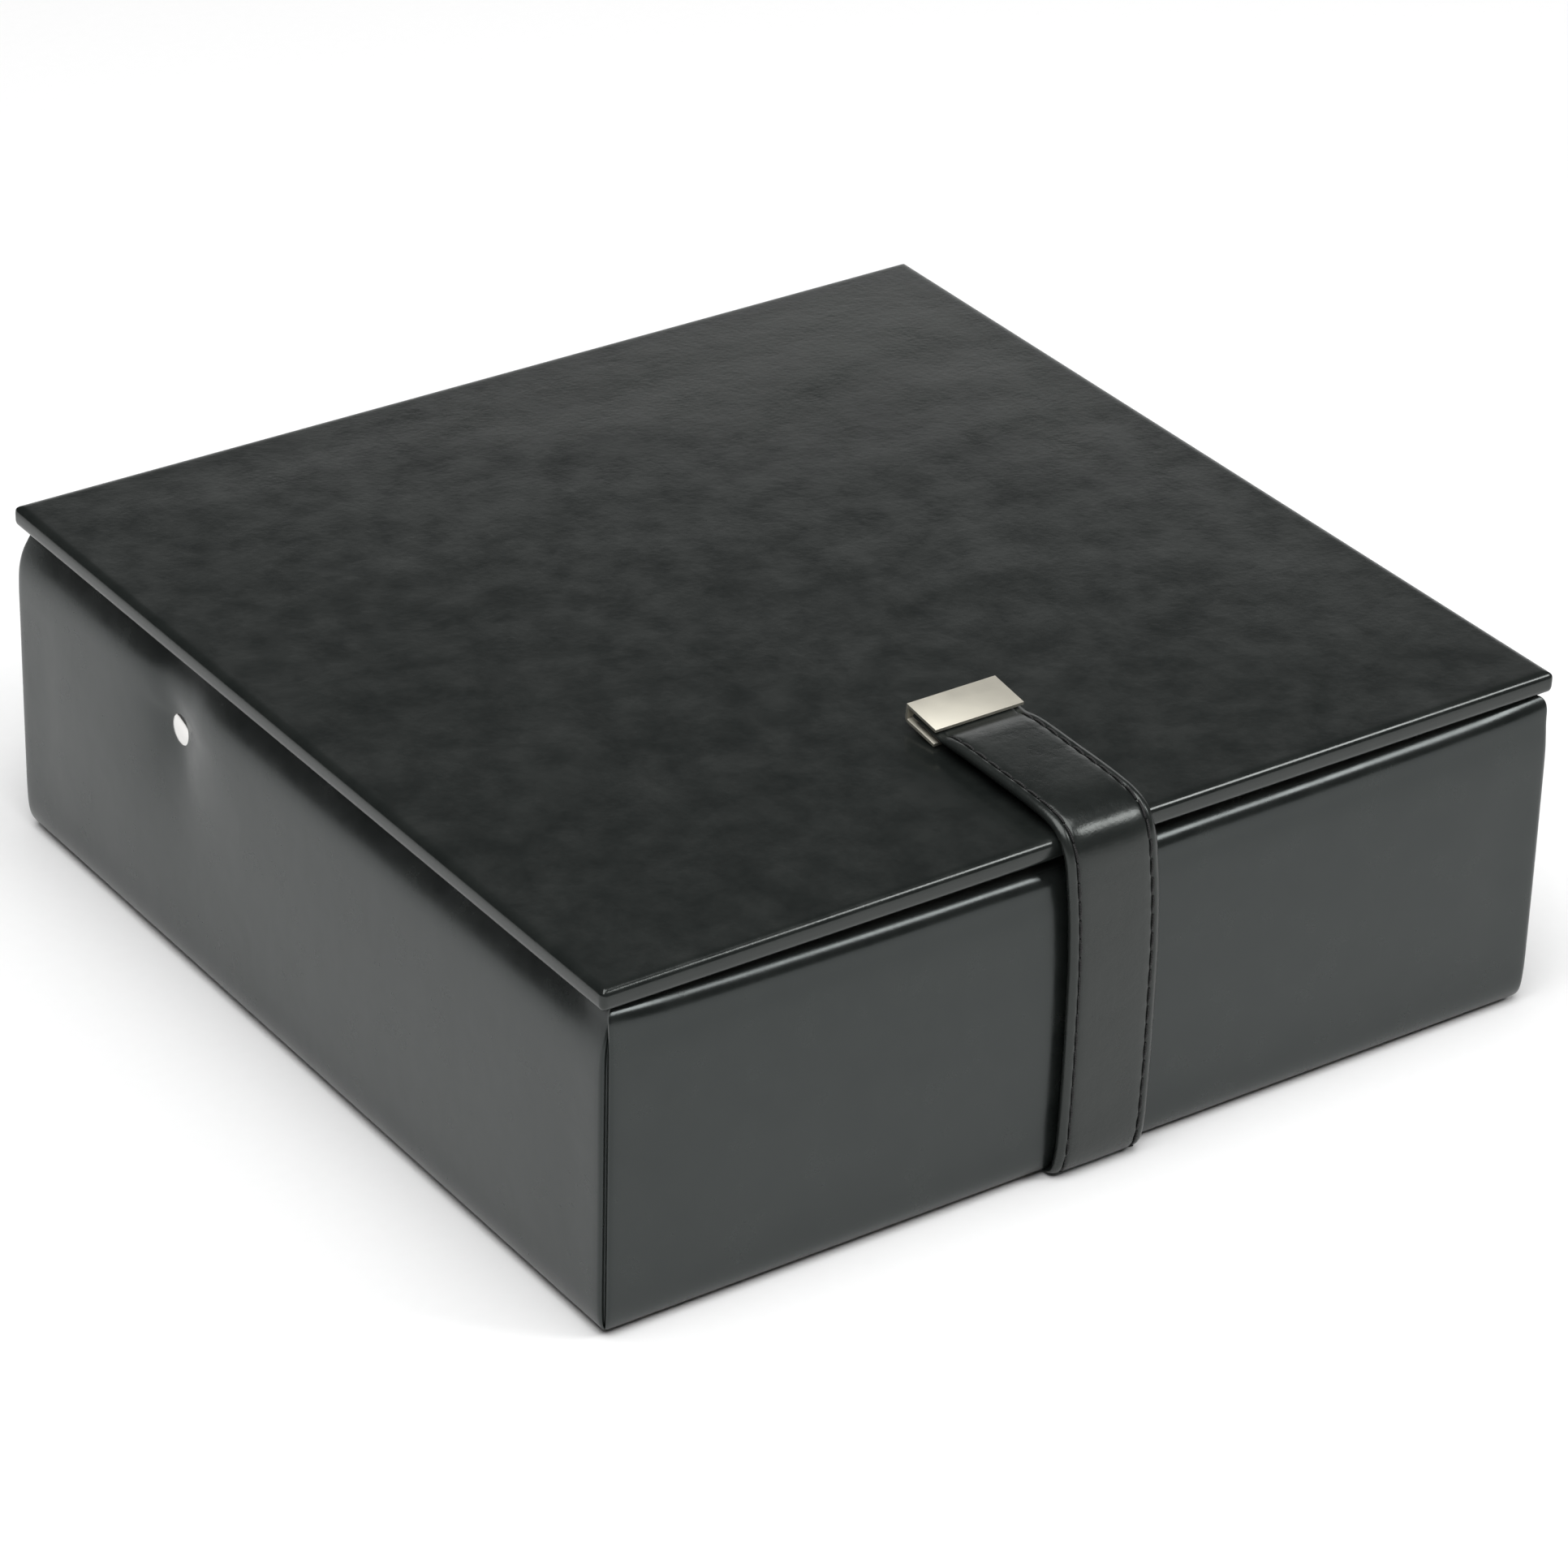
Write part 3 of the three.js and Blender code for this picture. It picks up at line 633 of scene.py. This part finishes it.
# an even walk along a smooth curve through the given rows
def walk(rows, step):
    rows = np.array(rows, float)
    chord = np.r_[0, np.cumsum(np.linalg.norm(np.diff(rows[:, :2], axis=0), axis=1))]
    slopes = np.gradient(rows, chord, axis=0)
    fine = np.linspace(0, chord[-1], 1200)
    dense = []
    for at in fine:
        i = min(max(np.searchsorted(chord, at) - 1, 0), len(chord) - 2)
        span = chord[i + 1] - chord[i]
        t = (at - chord[i]) / span
        first = (1 + 2 * t) * (1 - t) ** 2 * rows[i] + t * (1 - t) ** 2 * span * slopes[i]
        second = t * t * (3 - 2 * t) * rows[i + 1] + t * t * (t - 1) * span * slopes[i + 1]
        dense.append(first + second)
    dense = np.array(dense)
    arc = np.r_[0, np.cumsum(np.linalg.norm(np.diff(dense[:, :2], axis=0), axis=1))]
    count = max(round(arc[-1] / step), 2)
    even = np.linspace(0, arc[-1], count + 1)
    return np.column_stack([np.interp(even, arc, dense[:, k]) for k in range(4)]), even


# outward normals of a walk that climbs the front and then runs back
def outward(line):
    heading = np.gradient(line[:, :2], axis=0)
    heading /= np.linalg.norm(heading, axis=1)[:, None]
    return np.column_stack([-heading[:, 1], heading[:, 0]]), heading


# the strap's section as (across, lift from the outer face), then its underside as a share of the
# thickness
strapTop = [
    (12.75, -1.3), (12.6, -0.82), (12.2, -0.44), (11.7, -0.2), (11.2, -0.1), (10.8, -0.16), (10.52, -0.36),
    (10.3, -0.5), (10.08, -0.36), (9.8, -0.14), (9.2, -0.02), (7.6, 0.04), (5.2, 0.08), (2.6, 0.1),
]
strapUnder = [(12.68, 0.62), (12.3, 0.86), (11.6, 0.98), (8.0, 1.0), (3.0, 1.0)]


def buildStrapPart(name, rows, replaced):
    line, along = walk(rows, strap["step"])
    normals, heading = outward(line)
    section = [(u, "top", lift) for u, lift in strapTop] + [(0, "top", 0.11)]
    section += [(-u, "top", lift) for u, lift in reversed(strapTop)]
    section += [(-u, "under", share) for u, share in strapUnder] + [(0, "under", 1.0)]
    section += [(u, "under", share) for u, share in reversed(strapUnder)]
    points = []
    for (y, z, thickness, drift), (ny, nz), at in zip(line, normals, along):
        squeeze = min(thickness / strap["thickness"], 1)
        width = 1 - 0.03 * (1 - squeeze)
        beat = 0.5 - 0.5 * math.cos(2 * math.pi * at / strap["stitchPitch"])
        for u, side, value in section:
            if side == "top":
                lift = value * squeeze
                if 9.6 < abs(u) < 11:
                    lift *= 0.75 + 0.5 * (1 - beat)  # the thread pulls deepest at the needle holes
            else:
                lift = -value * thickness
            points.append(((u * width + drift) * mm, (y + ny * lift) * mm, (z + nz * lift) * mm))
    count = len(section)
    faces = []
    for row in range(len(line) - 1):
        for i in range(count):
            j = (i + 1) % count
            faces.append((row * count + i, row * count + j, (row + 1) * count + j, (row + 1) * count + i))
    last = (len(line) - 1) * count
    faces.append(tuple(reversed(range(count))))
    faces.append(tuple(range(last, last + count)))
    piece = newPiece(name, points, faces, strapLeather)
    for face in piece.data.polygons:
        if face.loop_total > 4:  # the cut ends are flat
            face.use_smooth = False
    piece.data.set_sharp_from_angle(angle=math.radians(60))
    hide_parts(replaced)
    return piece, line, normals, heading, along


# one stitch: a short thick thread that rises out of one needle hole and into the next
def addStitch(points, faces, middle, forward, outwardWay, length, thick):
    rings, sides = 7, 8
    start = len(points)
    across = forward.cross(outwardWay)
    for ring in range(rings):
        t = ring / (rings - 1)
        bulge = math.sin(math.pi * (0.12 + 0.76 * t))
        centre = middle + forward * (t - 0.5) * length + outwardWay * (thick * (1.5 * bulge - 1.15))
        for side in range(sides):
            angle = 2 * math.pi * side / sides
            radius = thick * (0.62 + 0.38 * bulge)
            aside = across * math.cos(angle) * radius
            points.append(centre + aside + outwardWay * math.sin(angle) * radius * 0.8)
    for ring in range(rings - 1):
        for side in range(sides):
            after = (side + 1) % sides
            a = start + ring * sides
            faces.append((a + side, a + after, a + sides + after, a + sides + side))
    faces.append(tuple(start + side for side in reversed(range(sides))))
    faces.append(tuple(start + (rings - 1) * sides + side for side in range(sides)))


def buildStitching(name, line, normals, heading, along, first, last, material):
    points, faces = [], []
    at = first
    while at <= last:
        y, z, drift = (np.interp(at, along, line[:, k]) for k in (0, 1, 3))
        ny, nz = (np.interp(at, along, normals[:, k]) for k in (0, 1))
        hy, hz = (np.interp(at, along, heading[:, k]) for k in (0, 1))
        out = Vector((0, ny, nz)).normalized()
        forward = Vector((0, hy, hz)).normalized()
        for side in (-1, 1):
            middle = Vector((side * strap["stitchAt"] + drift, y, z)) * mm - out * strap["threadDepth"] * mm
            slant = Vector((strap["stitchSlant"] * side, 0, 0))  # each stitch lies a little askew
            way = (forward + slant).normalized()
            addStitch(points, faces, middle, way, out, strap["stitchLength"] * mm, strap["thread"] * mm)
        at += strap["stitchPitch"]
    piece = newPiece(name, points, faces, material)
    return piece


def makeThread():
    material, tree, shader = newMaterial("blackThread", Roughness=0.55, Specular_IOR_Level=0.4)
    place = addNode(tree, "ShaderNodeTexCoord").outputs["Object"]
    twist = addNode(
        tree, "ShaderNodeTexWave", {"Scale": 900.0, "Distortion": 1.0}, bands_direction="DIAGONAL"
    )
    tree.links.new(place, twist.inputs["Vector"])
    tone = addNode(tree, "ShaderNodeMapRange", {"To Min": 0.004, "To Max": 0.012})
    tree.links.new(twist.outputs["Fac"], tone.inputs["Value"])
    tree.links.new(tone.outputs["Result"], shader.inputs["Base Color"])
    bump = addNode(tree, "ShaderNodeBump", {"Strength": 1.0, "Distance": 0.00008})
    tree.links.new(twist.outputs["Fac"], bump.inputs["Height"])
    tree.links.new(bump.outputs["Normal"], shader.inputs["Normal"])
    return material


blackThread = makeThread()


def buildStrap():
    foot, *footWay = buildStrapPart("strapFoot", footPath, "strap_anchor")
    band, *bandWay = buildStrapPart("strapBand", bandPath, "strap_top")
    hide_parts("strap_front")
    footLength, bandLength = footWay[3][-1], bandWay[3][-1]
    pitch = strap["stitchPitch"]
    footStart = footLength % pitch + pitch / 2
    footStitches = buildStitching("strapFootStitching", *footWay, footStart, footLength - 1, blackThread)
    bandEnd = bandLength - strap["clipCover"]
    bandStitches = buildStitching("strapStitching", *bandWay, pitch / 2, bandEnd, blackThread)
    for piece in (foot, footStitches):
        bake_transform(piece)
    for piece in (band, bandStitches):
        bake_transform(piece)


buildStrap()
print("strap stitched")

# metal, wood, lining and glass on the CAD parts


def makeMetalGroup():
    group = newGroup(
        "brushedMetal",
        [
            ("Tone", "NodeSocketColor", (0.62, 0.6, 0.56, 1)),
            ("Roughness", "NodeSocketFloat", 0.25),
            ("Brushing", "NodeSocketFloat", 0.5),
        ],
        surfaceOutputs,
    )
    source = group.nodes["Group Input"].outputs
    target = group.nodes["Group Output"].inputs
    link = group.links.new
    place = addNode(group, "ShaderNodeTexCoord").outputs["Object"]
    lines = addNode(group, "ShaderNodeMapping", {"Scale": (60.0, 4200.0, 4200.0)})
    link(place, lines.inputs["Vector"])
    hair = addNode(group, "ShaderNodeTexNoise", {"Scale": 1.0, "Detail": 3.0, "Roughness": 0.7})
    link(lines.outputs["Vector"], hair.inputs["Vector"])
    cloud = addNode(group, "ShaderNodeTexNoise", {"Scale": 160.0, "Detail": 4.0, "Roughness": 0.6})
    link(place, cloud.inputs["Vector"])
    rough = mathNode(group, "MULTIPLY", mathNode(group, "SUBTRACT", hair.outputs["Fac"], 0.5), 0.3)
    haze = mathNode(group, "MULTIPLY", mathNode(group, "SUBTRACT", cloud.outputs["Fac"], 0.5), 0.12)
    scaled = mathNode(group, "MULTIPLY", rough, source["Brushing"])
    uneven = mathNode(group, "ADD", source["Roughness"], scaled)
    link(mathNode(group, "ADD", uneven, haze), target["Roughness"])
    dull = addNode(group, "ShaderNodeMix", data_type="RGBA", blend_type="MULTIPLY")
    dull.inputs["Factor"].default_value = 0.1
    link(source["Tone"], dull.inputs[6])
    link(cloud.outputs["Fac"], dull.inputs[7])
    link(dull.outputs[2], target["Color"])
    height = mathNode(group, "MULTIPLY", hair.outputs["Fac"], 0.000006)
    link(mathNode(group, "MULTIPLY", height, source["Brushing"]), target["Height"])
    return group


metalGroup = makeMetalGroup()


def makeMetal(name, values):
    material, tree, shader = newMaterial(name, Metallic=1.0)
    wireUp(tree, placeGroup(tree, metalGroup, values), shader)
    return material


metalFinishes = {  # tone, roughness, brushing
    "satinNickel": ((0.645, 0.62, 0.54, 1), 0.6, 0.3),
    "polishedNickel": ((0.85, 0.84, 0.82, 1), 0.14, 0.1),
    "plainSteel": ((0.55, 0.55, 0.56, 1), 0.32, 0.5),
    "mirrorGlass": ((0.9, 0.92, 0.92, 1), 0.03, 0.0),
}
satinNickel, polishedNickel, plainSteel, mirrorGlass = [
    makeMetal(name, {"Tone": tone, "Roughness": roughness, "Brushing": brushing})
    for name, (tone, roughness, brushing) in metalFinishes.items()
]


# suede nap: short fibres, lighter and darker where it has been brushed
def makeNapGroup():
    group = newGroup(
        "suedeNap",
        [
            ("Dark", "NodeSocketColor", (0.05, 0.045, 0.04, 1)),
            ("Light", "NodeSocketColor", (0.16, 0.15, 0.135, 1)),
            ("Roughness", "NodeSocketFloat", 0.9),
        ],
        surfaceOutputs,
    )
    source = group.nodes["Group Input"].outputs
    target = group.nodes["Group Output"].inputs
    link = group.links.new
    place = addNode(group, "ShaderNodeTexCoord").outputs["Object"]
    fibre = addNode(group, "ShaderNodeTexNoise", {"Scale": 2600.0, "Detail": 3.0, "Roughness": 0.7})
    brushedSetup = {"Scale": 38.0, "Detail": 4.0, "Roughness": 0.6, "Distortion": 1.4}
    brushed = addNode(group, "ShaderNodeTexNoise", brushedSetup)
    link(place, fibre.inputs["Vector"])
    link(place, brushed.inputs["Vector"])
    fibreShare = mathNode(group, "MULTIPLY", fibre.outputs["Fac"], 0.45)
    brushedShare = mathNode(group, "MULTIPLY", brushed.outputs["Fac"], 0.55)
    both = mathNode(group, "ADD", fibreShare, brushedShare)
    spread = addNode(group, "ShaderNodeMapRange", {"From Min": 0.36, "From Max": 0.64})
    link(both, spread.inputs["Value"])
    mix = addNode(group, "ShaderNodeMix", data_type="RGBA")
    link(spread.outputs["Result"], mix.inputs["Factor"])
    link(source["Dark"], mix.inputs[6])
    link(source["Light"], mix.inputs[7])
    link(mix.outputs[2], target["Color"])
    rough = mathNode(group, "MULTIPLY", mathNode(group, "SUBTRACT", brushed.outputs["Fac"], 0.5), 0.15)
    link(mathNode(group, "ADD", source["Roughness"], rough), target["Roughness"])
    link(mathNode(group, "MULTIPLY", fibre.outputs["Fac"], 0.00012), target["Height"])
    return group


napGroup = makeNapGroup()


def makeSuede(name, values, sheen):
    material, tree, shader = newMaterial(
        name, Sheen_Weight=sheen, Sheen_Roughness=0.5, Specular_IOR_Level=0.15
    )
    wireUp(tree, placeGroup(tree, napGroup, values), shader)
    return material


greySuede = makeSuede("greySuede", {}, 0.35)
blackFelt = makeSuede("blackFelt", {"Dark": (0.006, 0.006, 0.006, 1), "Light": (0.02, 0.02, 0.02, 1)}, 0.1)


def makeFibreboard():
    material, tree, shader = newMaterial("fibreboard", Specular_IOR_Level=0.2)
    place = addNode(tree, "ShaderNodeTexCoord").outputs["Object"]
    chips = addNode(tree, "ShaderNodeTexNoise", {"Scale": 900.0, "Detail": 5.0, "Roughness": 0.7})
    tree.links.new(place, chips.inputs["Vector"])
    tone = addNode(tree, "ShaderNodeValToRGB")
    tone.color_ramp.elements[0].color = (0.16, 0.095, 0.05, 1)
    tone.color_ramp.elements[1].color = (0.34, 0.22, 0.12, 1)
    tone.color_ramp.elements[0].position = 0.35
    tone.color_ramp.elements[1].position = 0.65
    tree.links.new(chips.outputs["Fac"], tone.inputs["Fac"])
    tree.links.new(tone.outputs["Color"], shader.inputs["Base Color"])
    rough = addNode(tree, "ShaderNodeMapRange", {"To Min": 0.75, "To Max": 0.95})
    tree.links.new(chips.outputs["Fac"], rough.inputs["Value"])
    tree.links.new(rough.outputs["Result"], shader.inputs["Roughness"])
    bump = addNode(tree, "ShaderNodeBump", {"Strength": 1.0, "Distance": 0.0001})
    tree.links.new(chips.outputs["Fac"], bump.inputs["Height"])
    tree.links.new(bump.outputs["Normal"], shader.inputs["Normal"])
    return material


fibreboard = makeFibreboard()

# soft parts inside: ring rolls, the bracelet roll and the earring pad

softParts = {
    "ringRolls": {
        "nodes": ["ring_roll_1", "ring_roll_2", "ring_roll_3", "ring_roll_4", "ring_roll_5"],
        "body": "tray",
        "slimmer": 0.9 * mm,  # the rolls start thinner and swell to size
        "swell": 0.8 * mm,
        "around": 22,
        "spacing": 4 * mm,
        "fill": 0.8,
    },
    "braceletRoll": {
        "nodes": ["bracelet_roll"],
        "body": "case",
        "slimmer": 1.6 * mm,
        "swell": 1.4 * mm,
        "around": 28,
        "spacing": 5 * mm,
        "fill": 0.7,
    },
    "earringPad": {
        "nodes": ["earring_pad"],
        "body": "tray",
        "swell": 1.1 * mm,
        "edge": 3.2 * mm,  # how round its edges are
        "spacing": 4.5 * mm,
        "fill": 0.6,
    },
}


# one roll along X: a sewn tube, its ends drawn in with small pleats
def addRoll(points, pins, faces, node, setup):
    low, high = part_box(node)
    centre = (low + high) / 2
    radius = (high.z - low.z) / 2 - setup["slimmer"]
    half = (high.x - low.x) / 2
    around = setup["around"]
    along = [-half + 0.3 * mm + d * radius for d in (0.0, 0.02, 0.1, 0.25, 0.5)]
    share = [0.3, 0.62, 0.84, 0.95, 1.0]  # how far out each of those rings stands
    count = round(2 * (half - 0.5 * radius) / setup["spacing"])
    middle = list(np.linspace(along[-1], -along[-1], count + 1))[1:-1]
    ends = list(zip(along, share))
    rings = ends + [(x, 1.0) for x in middle] + [(-x, full) for x, full in reversed(ends)]
    start = len(points)
    for x, full in rings:
        pleat = 0.05 * (1 - full)
        for i in range(around):
            angle = 2 * math.pi * i / around
            wobble = 1 + pleat * math.cos(around / 2 * angle)
            spot = Vector((x * 70, math.cos(angle) * 1.5, math.sin(angle) * 1.5 + centre.y * 90))
            wobble += 0.012 * noise.noise(spot)
            r = radius * full * wobble
            z = centre.z - setup["slimmer"] * 0.4 + r * math.cos(angle)
            points.append((centre.x + x, centre.y + r * math.sin(angle), z))
            under = math.cos(angle) < -0.93
            pins.append(1.0 if full < 0.9 or under else 0.0)
    for ring in range(len(rings) - 1):
        for i in range(around):
            j = (i + 1) % around
            a, b = start + ring * around, start + (ring + 1) * around
            faces.append((a + i, b + i, b + j, a + j))
    last = start + (len(rings) - 1) * around
    for first, flip in ((start, False), (last, True)):
        points.append(tuple(np.mean(points[first:first + around], axis=0)))
        pins.append(1.0)
        hub = len(points) - 1
        for i in range(around):
            j = (i + 1) % around
            faces.append((hub, first + j, first + i) if flip else (hub, first + i, first + j))


def addPad(points, pins, faces, node, setup):
    low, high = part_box(node)
    edge = setup["edge"]
    lines = []
    for a, b in ((low.x, high.x), (low.y, high.y)):
        middle = list(np.linspace(a + edge, b - edge, round((b - a - 2 * edge) / setup["spacing"])))
        lines.append([a, a + 0.4 * mm, a + 1.4 * mm] + middle + [b - 1.4 * mm, b - 0.4 * mm, b])
    linesX, linesY = lines
    across, along = len(linesX), len(linesY)
    height = high.z - low.z - setup["swell"] * 0.8
    for top in (True, False):
        for y in linesY:
            for x in linesX:
                inside = min(x - low.x, high.x - x, y - low.y, high.y - y)
                fall = max(edge - inside, 0) / edge
                lift = 0.35 - 0.35 * min(inside / (1 * mm), 1)
                if top:
                    lift = 0.35 + 0.65 * math.sqrt(max(1 - fall * fall, 0))
                points.append((x, y, low.z + height * lift))
                pins.append(0.0 if top and inside > 1 * mm else 1.0)
    for layer in (0, 1):
        base = layer * across * along
        for row in range(along - 1):
            for i in range(across - 1):
                a = base + row * across + i
                quad = (a, a + 1, a + 1 + across, a + across)
                faces.append(quad if layer == 0 else tuple(reversed(quad)))
    border = gridBorder(across, along)
    other = across * along
    for i, here in enumerate(border):
        after = border[(i + 1) % len(border)]
        faces.append((here, here + other, after + other, after))


def buildSoftParts():
    for name, setup in softParts.items():
        points, pins, faces = [], [], []
        for node in setup["nodes"]:
            if "around" in setup:
                addRoll(points, pins, faces, node, setup)
            else:
                addPad(points, pins, faces, node, setup)
        piece = newPiece(name, points, faces, greySuede)
        inflate(piece, pins, setup["swell"], pressure=5.0, stiffness=12.0)
        addModifier(piece, "SUBSURF", levels=1, render_levels=1)
        applyModifiers(piece)
        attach(piece, setup["body"])
        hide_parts(*setup["nodes"])


buildSoftParts()
print("rolls and pad filled")

finishOfSlot = {
    "leather": wallLeather,
    "board": fibreboard,
    "lining": greySuede,
    "felt": blackFelt,
    "nickel": satinNickel,
    "polished": polishedNickel,
    "steel": plainSteel,
    "mirror": mirrorGlass,
}
softEdge = {"lining": 0.6 * mm, "felt": 0.4 * mm, "nickel": 0.12 * mm, "steel": 0.1 * mm, "board": 0.2 * mm}


def dressNodes():
    for name, node in nodes.items():
        slotName = node.data.materials[0].name.split(".")[0]
        node.data.materials[0] = finishOfSlot[slotName]
        addModifier(node, "WELD", merge_threshold=0.00001)
        if slotName in softEdge:
            addModifier(node, "BEVEL", width=softEdge[slotName], segments=2, limit_method="ANGLE",
                        angle_limit=math.radians(40), harden_normals=False)
        node.data.shade_smooth()
        addModifier(node, "EDGE_SPLIT", split_angle=math.radians(35))


dressNodes()
print("CAD parts finished")
